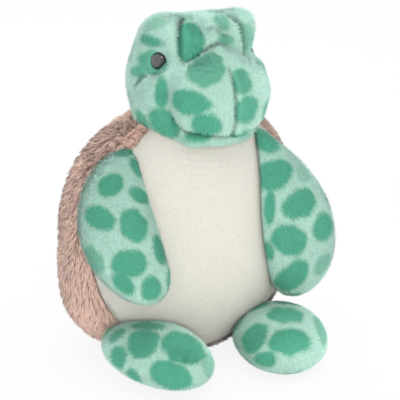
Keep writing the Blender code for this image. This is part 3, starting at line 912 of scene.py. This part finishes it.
def inside_limbs(points, margin):
    """Whether points lie in a flipper grown by a margin: nearest of 40 places on its middle
    line, measured against the ellipse there."""
    found = np.zeros(len(points), bool)
    shares = np.linspace(0.0, 1.0, 40)
    ball = np.stack([0 * shares, 0 * shares, 1.0 - 2.0 * shares], -1)
    for shape, sizes in ((arm_points, ARMS), (leg_points, LEGS)):
        for side in (LEFT, RIGHT):
            wide, thick, (power, _) = sizes[side][-3:]
            line = shape(ball, side)
            across = shape(ball + (0.02, 0.0, 0.0), side) - line
            for place, step, share in zip(line, unit(across), shares):
                girth = max(1.0 - (1.0 - 2.0 * share) ** 2, 1e-6) ** (power / 2.0)
                offset = points - place
                sideways = offset @ step
                rest = np.sqrt(np.maximum((offset ** 2).sum(-1) - sideways ** 2, 0.0))
                found |= ((sideways / (wide * girth + margin)) ** 2
                          + (rest / (thick * girth + margin)) ** 2) < 1.0
    return found


def torso_cover(name, cloth, front, drawn_in, tip, *nodes):
    """One side's cover, its grid and normals, and 1 where pile may grow on it; a low tip value
    darkens the cover as painted shade under its pile.
    """
    points = closed_half(dished(torso_half(front, drawn_in), 0.0005), front)
    points = points if front else points[:, ::-1]
    flat = np.zeros(points.shape[:2])
    # Painted shade: the tip value darkens the cover as if in its pile's shade.
    cover = new_cover(name, points, tip=tip + flat, shade=0.5 + flat)
    dress(cover, finish_named(cloth), name + "_pile", "torso", *nodes)
    weight = flat + 1.0
    weight[-len(CLOSING_ROWS) - 1:] = 0.0
    return (points, grid_normals(points)), weight


def make_torso():
    """Belly and shell: covers, then pile, with some of the shell's over the belly's edge."""
    down = np.array([0.0, 0.0, -1.0])

    def clear(roots, tips):
        """Needles clear of the head, the flippers, the floor and the seam."""
        return ((out_of_head(tips) > 0.0008) & (out_of_head(roots) > 0.0012)
                & ~inside_limbs(tips, 0.0) & (roots[:, 2] > 0.0006) & (tips[:, 2] > 0.0002)
                & (np.abs(roots[:, 1] - SEAM_PLANE) > 0.0003))

    def belly_comb(roots):
        """Straight down."""
        return np.broadcast_to(down, roots.shape)

    def shell_comb(roots):
        """Down with seeded swirls, and forwards over the seam."""
        swirl = np.stack([lumps(roots, 0.05, 5), 0 * roots[:, 0], lumps(roots, 0.05, 6)], -1)
        over = np.exp(-np.abs(roots[:, 1] - SEAM_PLANE) / 0.007)[:, None]
        return down + 0.5 * swirl - over * (0.0, 1.6, 0.0)

    belly, weight = torso_cover("belly", "cream", True, 0.0006, 0.7, "belly_cover",
                                "torso_stuffing")
    needles = new_pile("belly_pile", belly, 46000, pile().cream_height, 0.0006, 66.0,
                       belly_comb, 11, (0.003, 0.25), weight=weight, keep=clear)
    dress(needles, finish_named("cream"), "belly_pile", "torso")

    _, y, z = np.moveaxis(belly[0], -1, 0)
    reach = 0.003 + 0.007 * smooth((z - 0.160) / 0.020)
    high = smooth((z - 0.13) / 0.03) * smooth((reach - (SEAM_PLANE - y)) / 0.002)
    needles = new_pile("shell_pile_edge", belly, 4200, 0.8 * pile().brown_height, 0.0011, 42.0,
                       belly_comb, 23, (0.0045, 0.5), bend=0.10, weight=high * weight,
                       keep=clear, loose=1.1)
    dress(needles, finish_named("brown"), "shell_pile", "torso")

    shell, weight = torso_cover("shell", "brown", False, 0.0015, 0.1, "shell_cover",
                                "pellet_pouch")
    upper = shell[0][..., 2] > SEAM_MIDDLE
    for index, (part, half) in enumerate((("upper", upper), ("lower", ~upper))):
        needles = new_pile("shell_pile_" + part, shell, 19900, pile().brown_height, 0.0012, 58.0,
                           shell_comb, 21 + index, (0.0070, 0.55), bend=0.10,
                           weight=weight * half, keep=clear, loose=0.25)
        dress(needles, finish_named("brown"), "shell_pile", "torso")


# Spots: place, longer half axis, shorter half axis, in millimetres, and strength
SPOTS = {
    "head": (
     (-17, -72, 236, 11, 5, 10, 13, 0.84), (-33, -73, 213, 7, -13, -2, 9, 1),
     (-20, -78, 196, 9, -6, -1, 10, 1), (7, -82, 226, -2, -5, -9, 8, 0.9),
     (9, -85, 206, 10, 1, 5, 10, 0.95), (-21, -67, 186, 9, -5, 1, 4, 1),
     (8, -71, 186, 12, 6, -3, 3, 1), (-19, -52, 252, -4, -9, -14, 10, 1),
     (10, -45, 263, 0, -6, -4, 6, 0.7), (8, -55, 252, 7, 1, -1, 4, 0.8),
     (-42, -34, 252, 3, -11, -1, 4, 1), (-41, -35, 263, 3, -8, 4, 5, 0.45),
     (-39, -38, 234, 5, -16, -3, 8, 0.9), (-49, -26, 229, 1, -10, 1, 4, 0.9),
     (-42, -52, 217, 0, -1, 12, 5, 1), (-39, -49, 194, 8, -4, -10, 11, 1),
     (-47, -31, 195, 3, -6, -5, 6, 0.9), (29, -47, 251, 2, -2, -10, 7, 0.6),
     (-16, -35, 267, -3, -6, -2, 7, 0.4)),
    "arm_left": (
     (42, -57, 174, 11, -3, -7, 8, 1), (44, -66, 150, 17, -1, 4, 11, 1),
     (62, -75, 127, 15, 1, 5, 11, 1), (39, -69, 126, 1, 1, 13, 4, 1),
     (84, -75, 106, 11, 4, -4, 11, 1), (53, -76, 100, 13, -2, -8, 12, 1),
     (40, -67, 91, 2, 1, -8, 4, 1), (86, -71, 75, 3, -2, 9, 9, 0.6),
     (60, -69, 68, 6, -7, 15, 12, 1), (70, -66, 148, 6, -1, -5, 7, 0.35)),
    "arm_right": (
     (-66, -39, 174, 8, 2, 1, 4, 0.9), (-60, -46, 163, 2, -4, -7, 5, 1),
     (-84, -54, 155, 9, 1, 5, 8, 1), (-63, -57, 145, 9, 1, -5, 6, 1),
     (-96, -61, 134, 8, -7, -6, 8, 1), (-73, -68, 127, 5, -4, -11, 11, 1),
     (-54, -69, 106, 1, -3, -11, 7, 1), (-102, -63, 105, 4, -4, -9, 7, 0.7),
     (-80, -75, 102, 13, -2, -2, 10, 1), (-85, -75, 88, 6, -2, -8, 6, 1),
     (-65, -78, 82, 2, 1, -9, 8, 1)),
    "leg_left": (
     (48, -80, 41, 14, -4, -1, 13, 1), (37, -105, 32, 15, -5, 0, 10, 1),
     (19, -84, 31, 2, -12, 0, 12, 1), (22, -54, 30, 4, 0, 5, 6, 0.8),
     (70, -94, 31, -8, -14, -5, 7, 0.7), (21, -98, 19, 5, -8, 3, 6, 1)),
    "leg_right": (
     (-56, -59, 44, 9, -10, 0, 7, 0.9), (-68, -75, 40, -3, -13, -5, 12, 1),
     (-44, -91, 37, 4, -15, -6, 16, 1), (-60, -104, 23, 13, -7, -5, 10, 1),
     (-77, -79, 18, 0, 5, -5, 7, 1), (-84, -65, 28, -2, 8, -4, 8, 1),
     (-77, -50, 38, 6, 2, 4, 7, 0.9), (-31, -102, 25, -7, -5, -1, 8, 0.5)),
}


class TURTLE_OT_head(bpy.types.Operator):
    """Add the spotted head with its pile"""
    bl_idname = "turtle.head"
    bl_label = "Head"

    def execute(self, context):
        make_head()
        return {"FINISHED"}


def face_folds(directions):
    """0 to 1 along the face's narrow creases, where the pile is pressed in and where painted shade
    darkens the pile and the cover.
    """
    depth = sum(crease_depth(directions, line, 0.8 * width, depths, shares)
                for line, width, depths, shares in CREASES if width < NARROW_CREASE)
    return smooth(depth / 0.0045)


def head_points(directions):
    """The head's surface along directions from its centre, drawn in under the pile."""
    return HEAD_CENTRE + directions * (head_radius(directions) - 0.0012)[..., None]


def make_head():
    """The head cover and its pile."""
    directions = ball_grid(260, 170)
    points = head_points(directions)
    normals = grid_normals(points)
    spot = spots_on(points - (0.0, 0.0, 0.0018), normals, "head", 31)
    fold = face_folds(directions)
    # Painted shade: the cover is darkened along the creases, and its tip value of 0.2 darkens it as
    # if under its pile.
    head = new_cover("head", points, spot=spot, tip=np.full(spot.shape, 0.2),
                     shade=0.5 - SHADE_OF_FOLDS * fold)
    dress(head, finish_named("green"), "green_pile", "head", "head_cover", "head_stuffing")

    def comb(roots):
        """Down and back, with seeded swirls."""
        return np.array([0.0, 0.45, -0.9]) + 0.25 * lumps(roots, 0.03, 7)[:, None]

    def clear(roots, tips):
        """Needles that stay out of the torso."""
        return (out_of_torso(roots) > 0.0006) & (out_of_torso(tips) > -0.0004)

    eyes = np.maximum(directions @ aim(*EYE_AIM), directions @ aim(-EYE_AIM[0], EYE_AIM[1]))
    away = np.degrees(np.arccos(np.clip(eyes, -1.0, 1.0)))
    weight = smooth((away - EYE_BARE) / 5.0) * (1.0 - 0.55 * fold)
    needles = new_pile("head_pile", (points, normals), 46000, pile().green_height,
                       pile().needle_width, 50.0, comb, 41, (0.0035, 0.2), weight=weight,
                       keep=clear, spot=spot, painted_shade=fold)
    dress(needles, finish_named("green"), "green_pile", "head")


def spots_on(points, normals, name, seed):
    """1 inside the spots of a piece and 0 between them, with soft uneven edges. Each spot is
    an ellipsoid round a place, 12 mm deep, and its distance is in half axes; the sides that
    its table leaves bare get a seeded spread of round ones."""
    draw = np.random.default_rng(seed)
    flat = points.reshape(-1, 3)
    bumps = 0.05 * lumps(flat, 0.011, seed) + 0.02 * lumps(flat, 0.004, seed + 1)
    table = [(np.array(row[:3]) / 1000.0, np.array(row[3:6]) / 1000.0, row[6] / 1000.0, row[7])
             for row in SPOTS[name]]
    taken = [(place, np.linalg.norm(half)) for place, half, _, _ in table]
    for index in draw.integers(0, len(flat), 900):
        size = draw.uniform(0.0075, 0.0115)
        clear = all(np.linalg.norm(flat[index] - place) > 0.85 * (size + other) + 0.004
                    for place, other in taken)
        if clear and not seen_in_front(flat[index], normals.reshape(-1, 3)[index]):
            half = size * unit(np.cross(draw.normal(size=3), normals.reshape(-1, 3)[index]))
            table.append((flat[index], half, size * draw.uniform(0.7, 0.95), 1.0))
            taken.append((flat[index], size))
    spot = np.zeros(len(flat))
    for place, half, width, strength in table:
        offset = flat - place
        normal = normals.reshape(-1, 3)[np.argmin((offset ** 2).sum(-1))]
        across = unit(np.cross(normal, half))
        near = np.sqrt((offset @ half / (half @ half)) ** 2 + (offset @ across / width) ** 2
                       + (offset @ normal / 0.012) ** 2)
        edge = 0.0032 / math.sqrt(width * np.linalg.norm(half))
        spot = np.maximum(spot, strength * smooth((1.0 + bumps - near) / edge + 0.5))
    return spot.reshape(points.shape[:2])


def seen_in_front(place, normal):
    """Whether a place faces the camera's side, where the spots are all listed."""
    towards = aim(VIEW_TURN, VIEW_RISE)
    return normal @ towards > 0.12 or (place[0] < 0.02 and normal @ towards > -0.05)


class TURTLE_OT_eyes(bpy.types.Operator):
    """Add the two domed eyes"""
    bl_idname = "turtle.eyes"
    bl_label = "Eyes"

    def execute(self, context):
        for name, side in SIDES.items():
            make_eye(name, side)
        return {"FINISHED"}


def make_eye(name, side):
    """A dome turned about its post: radius R sin a and height H cos a, with a thin edge and
    a post behind."""
    axis = aim(side * EYE_FACING[0], EYE_FACING[1])
    centre = HEAD_CENTRE + EYE_REACH * aim(side * EYE_AIM[0], EYE_AIM[1])
    first = unit(np.cross((0.0, 0.0, 1.0), axis))
    second = np.cross(axis, first)
    angle = np.linspace(0.0, math.pi / 2.0, 17)
    across = np.concatenate([np.sin(angle), [1.0]]) * EYE_RADIUS
    across = np.concatenate([across, [0.0062, 0.0021, 0.0020, 0.0]])
    height = np.concatenate([np.cos(angle) * EYE_HEIGHT,
                             [-0.0005, -0.0010, -0.0010, -0.0080, -0.0080]])
    turn = np.linspace(0.0, 2.0 * math.pi, 64, endpoint=False)
    ring = np.cos(turn)[:, None] * first + np.sin(turn)[:, None] * second
    points = centre + across[:, None, None] * ring + height[:, None, None] * axis
    edge = np.broadcast_to((across / EYE_RADIUS)[:, None], points.shape[:2])
    piece = new_cover("eye_dome_" + name, points, edge=edge)
    finish = Finish("eye_" + name, Roughness=0.10, Coat_Weight=1.0, Coat_Roughness=0.03)
    speck = finish.noise(0.0006, 4.0, 0.7)
    rim = finish.node("ShaderNodeValToRGB", {"stops": [(0.0, tint("eye")), (0.62, tint("eye")),
                                                       (0.80, (0.006, 0.006, 0.006))]},
                      {0: finish.attribute("edge")})
    finish.set(Base_Color=finish.scaled(rim, 0.5 + speck))
    dress(piece, finish.material, "eye", "head", "eye_" + name)


class TURTLE_OT_arms(bpy.types.Operator):
    """Add the two front flippers with their pile"""
    bl_idname = "turtle.arms"
    bl_label = "Front flippers"

    def execute(self, context):
        for name, side in SIDES.items():
            # The last number is the painted shade laid over the whole pile.
            make_limb("arm", name, arm_points, side, 24000, 1.0, 0.18)
        return {"FINISHED"}


class TURTLE_OT_legs(bpy.types.Operator):
    """Add the two hind flippers with their pile"""
    bl_idname = "turtle.legs"
    bl_label = "Hind flippers"

    def execute(self, context):
        for name, side in SIDES.items():
            # The last number is the painted shade laid over the whole pile.
            make_limb("leg", name, leg_points, side, 24000, -0.8, 0.06)
        return {"FINISHED"}


# Under the pile a flipper's cover lies in by this much; its thread runs round one row
LIMB_DRAWN_IN = 0.0010
GATHER_ROW = 16
GATHER_THICK = 0.0004


def make_limb(kind, name, shape, side, count, outwards, painted_dimming):
    """A flipper's cover, its gathering thread and its pile, which lies down and towards its tip
    or away from it, with painted shade dimming the whole pile."""
    ball = ball_grid(150, 110)
    points = shape(ball, side)
    normals = grid_normals(points)
    points = points - LIMB_DRAWN_IN * normals
    points[..., 2] = np.maximum(points[..., 2], FLOOR)
    tip = shape(np.array([[0.0, 0.0, -1.0]]), side)[0]
    root = shape(np.array([[0.0, 0.0, 1.0]]), side)[0]
    towards = unit(tip - root)
    spot = spots_on(points + 0.0018 * towards, normals, f"{kind}_{name}", 51)
    # Painted shade: tip 0.2 darkens the cover as if under its pile.
    cover = new_cover(f"{kind}_{name}", points, spot=spot, tip=np.full(spot.shape, 0.2),
                      shade=np.full(spot.shape, 0.5))
    dress(cover, finish_named("green"), "green_pile", f"{kind}_{name}",
          f"{kind}_cover_{name}", f"{kind}_stuffing_{name}")
    joint = {"arm": "shoulder", "leg": "hip"}[kind]
    loop = points[GATHER_ROW] - 0.0009 * normals[GATHER_ROW]
    dress(new_ring(f"{joint}_gather_{name}", loop, GATHER_THICK), finish_named("thread"), "thread",
          f"{kind}_{name}", f"{joint}_thread_{name}")

    def comb(roots):
        """Along the flipper and down, with seeded swirls."""
        return (outwards * towards + 0.2 * lumps(roots, 0.03, 8)[:, None]
                - (0.0, 0.0, 0.8 if outwards < 0 else 0.3))

    def clear(roots, tips):
        """Needles that stay out of the torso and above the floor."""
        return (out_of_torso(roots) > 0.0016) & (roots[:, 2] > 0.0004) & (tips[:, 2] > 0.0)

    weight = smooth((1.0 - ball[..., 2]) / 0.01)
    # Painted shade over the whole pile, by painted_dimming.
    needles = new_pile(f"{kind}_pile_{name}", (points, normals), count, pile().green_height,
                       pile().needle_width, 50.0, comb, 61 + side, (0.0035, 0.2),
                       weight=weight, keep=clear, spot=spot, painted_shade=np.full(spot.shape, painted_dimming))
    dress(needles, finish_named("green"), "green_pile", f"{kind}_{name}")


class TURTLE_OT_fittings(bpy.types.Operator):
    """Give the threads and washers their materials"""
    bl_idname = "turtle.fittings"
    bl_label = "Threads and washers"

    def execute(self, context):
        washer = Finish("washer", Roughness=0.45)
        washer.set(Base_Color=washer.mix(washer.noise(0.002), (0.78, 0.78, 0.76),
                                         (0.86, 0.86, 0.85)))
        for name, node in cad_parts.items():
            if "thread" in name or "washer" in name:
                node.data.materials.clear()
                node.data.materials.append(finish_named("thread") if "thread" in name
                                           else washer.material)
        return {"FINISHED"}


class TURTLE_PT_panel(bpy.types.Panel):
    """Lists the turtle's pieces, sizes and colours"""
    bl_label = "Plush sea turtle"
    bl_idname = "TURTLE_PT_panel"
    bl_space_type = "VIEW_3D"
    bl_region_type = "UI"
    bl_category = "Turtle"

    def draw(self, context):
        for group in (context.scene.turtle_pile, context.scene.turtle_colours):
            for key in group.bl_rna.properties.keys():
                if key not in ("rna_type", "name"):
                    self.layout.prop(group, key)
        for operator in OPERATORS:
            self.layout.operator(operator.bl_idname)


OPERATORS = (TURTLE_OT_stage, TURTLE_OT_torso, TURTLE_OT_head, TURTLE_OT_eyes, TURTLE_OT_arms,
             TURTLE_OT_legs, TURTLE_OT_fittings)
GROUPS = {"turtle_pile": TurtlePile, "turtle_colours": TurtleColours}


def register():
    """Register the classes and the scene's property groups."""
    for kind in (*GROUPS.values(), *OPERATORS, TURTLE_PT_panel):
        bpy.utils.register_class(kind)
    for key, group in GROUPS.items():
        setattr(bpy.types.Scene, key, bpy.props.PointerProperty(type=group))


def unregister():
    """Undo register."""
    for key in GROUPS:
        delattr(bpy.types.Scene, key)
    for kind in (TURTLE_PT_panel, *reversed(OPERATORS), *GROUPS.values()):
        bpy.utils.unregister_class(kind)


def main():
    """Build every piece."""
    register()
    for operator in OPERATORS:
        group, name = operator.bl_idname.split(".")
        getattr(getattr(bpy.ops, group), name)()


if __name__ == "__main__":
    main()
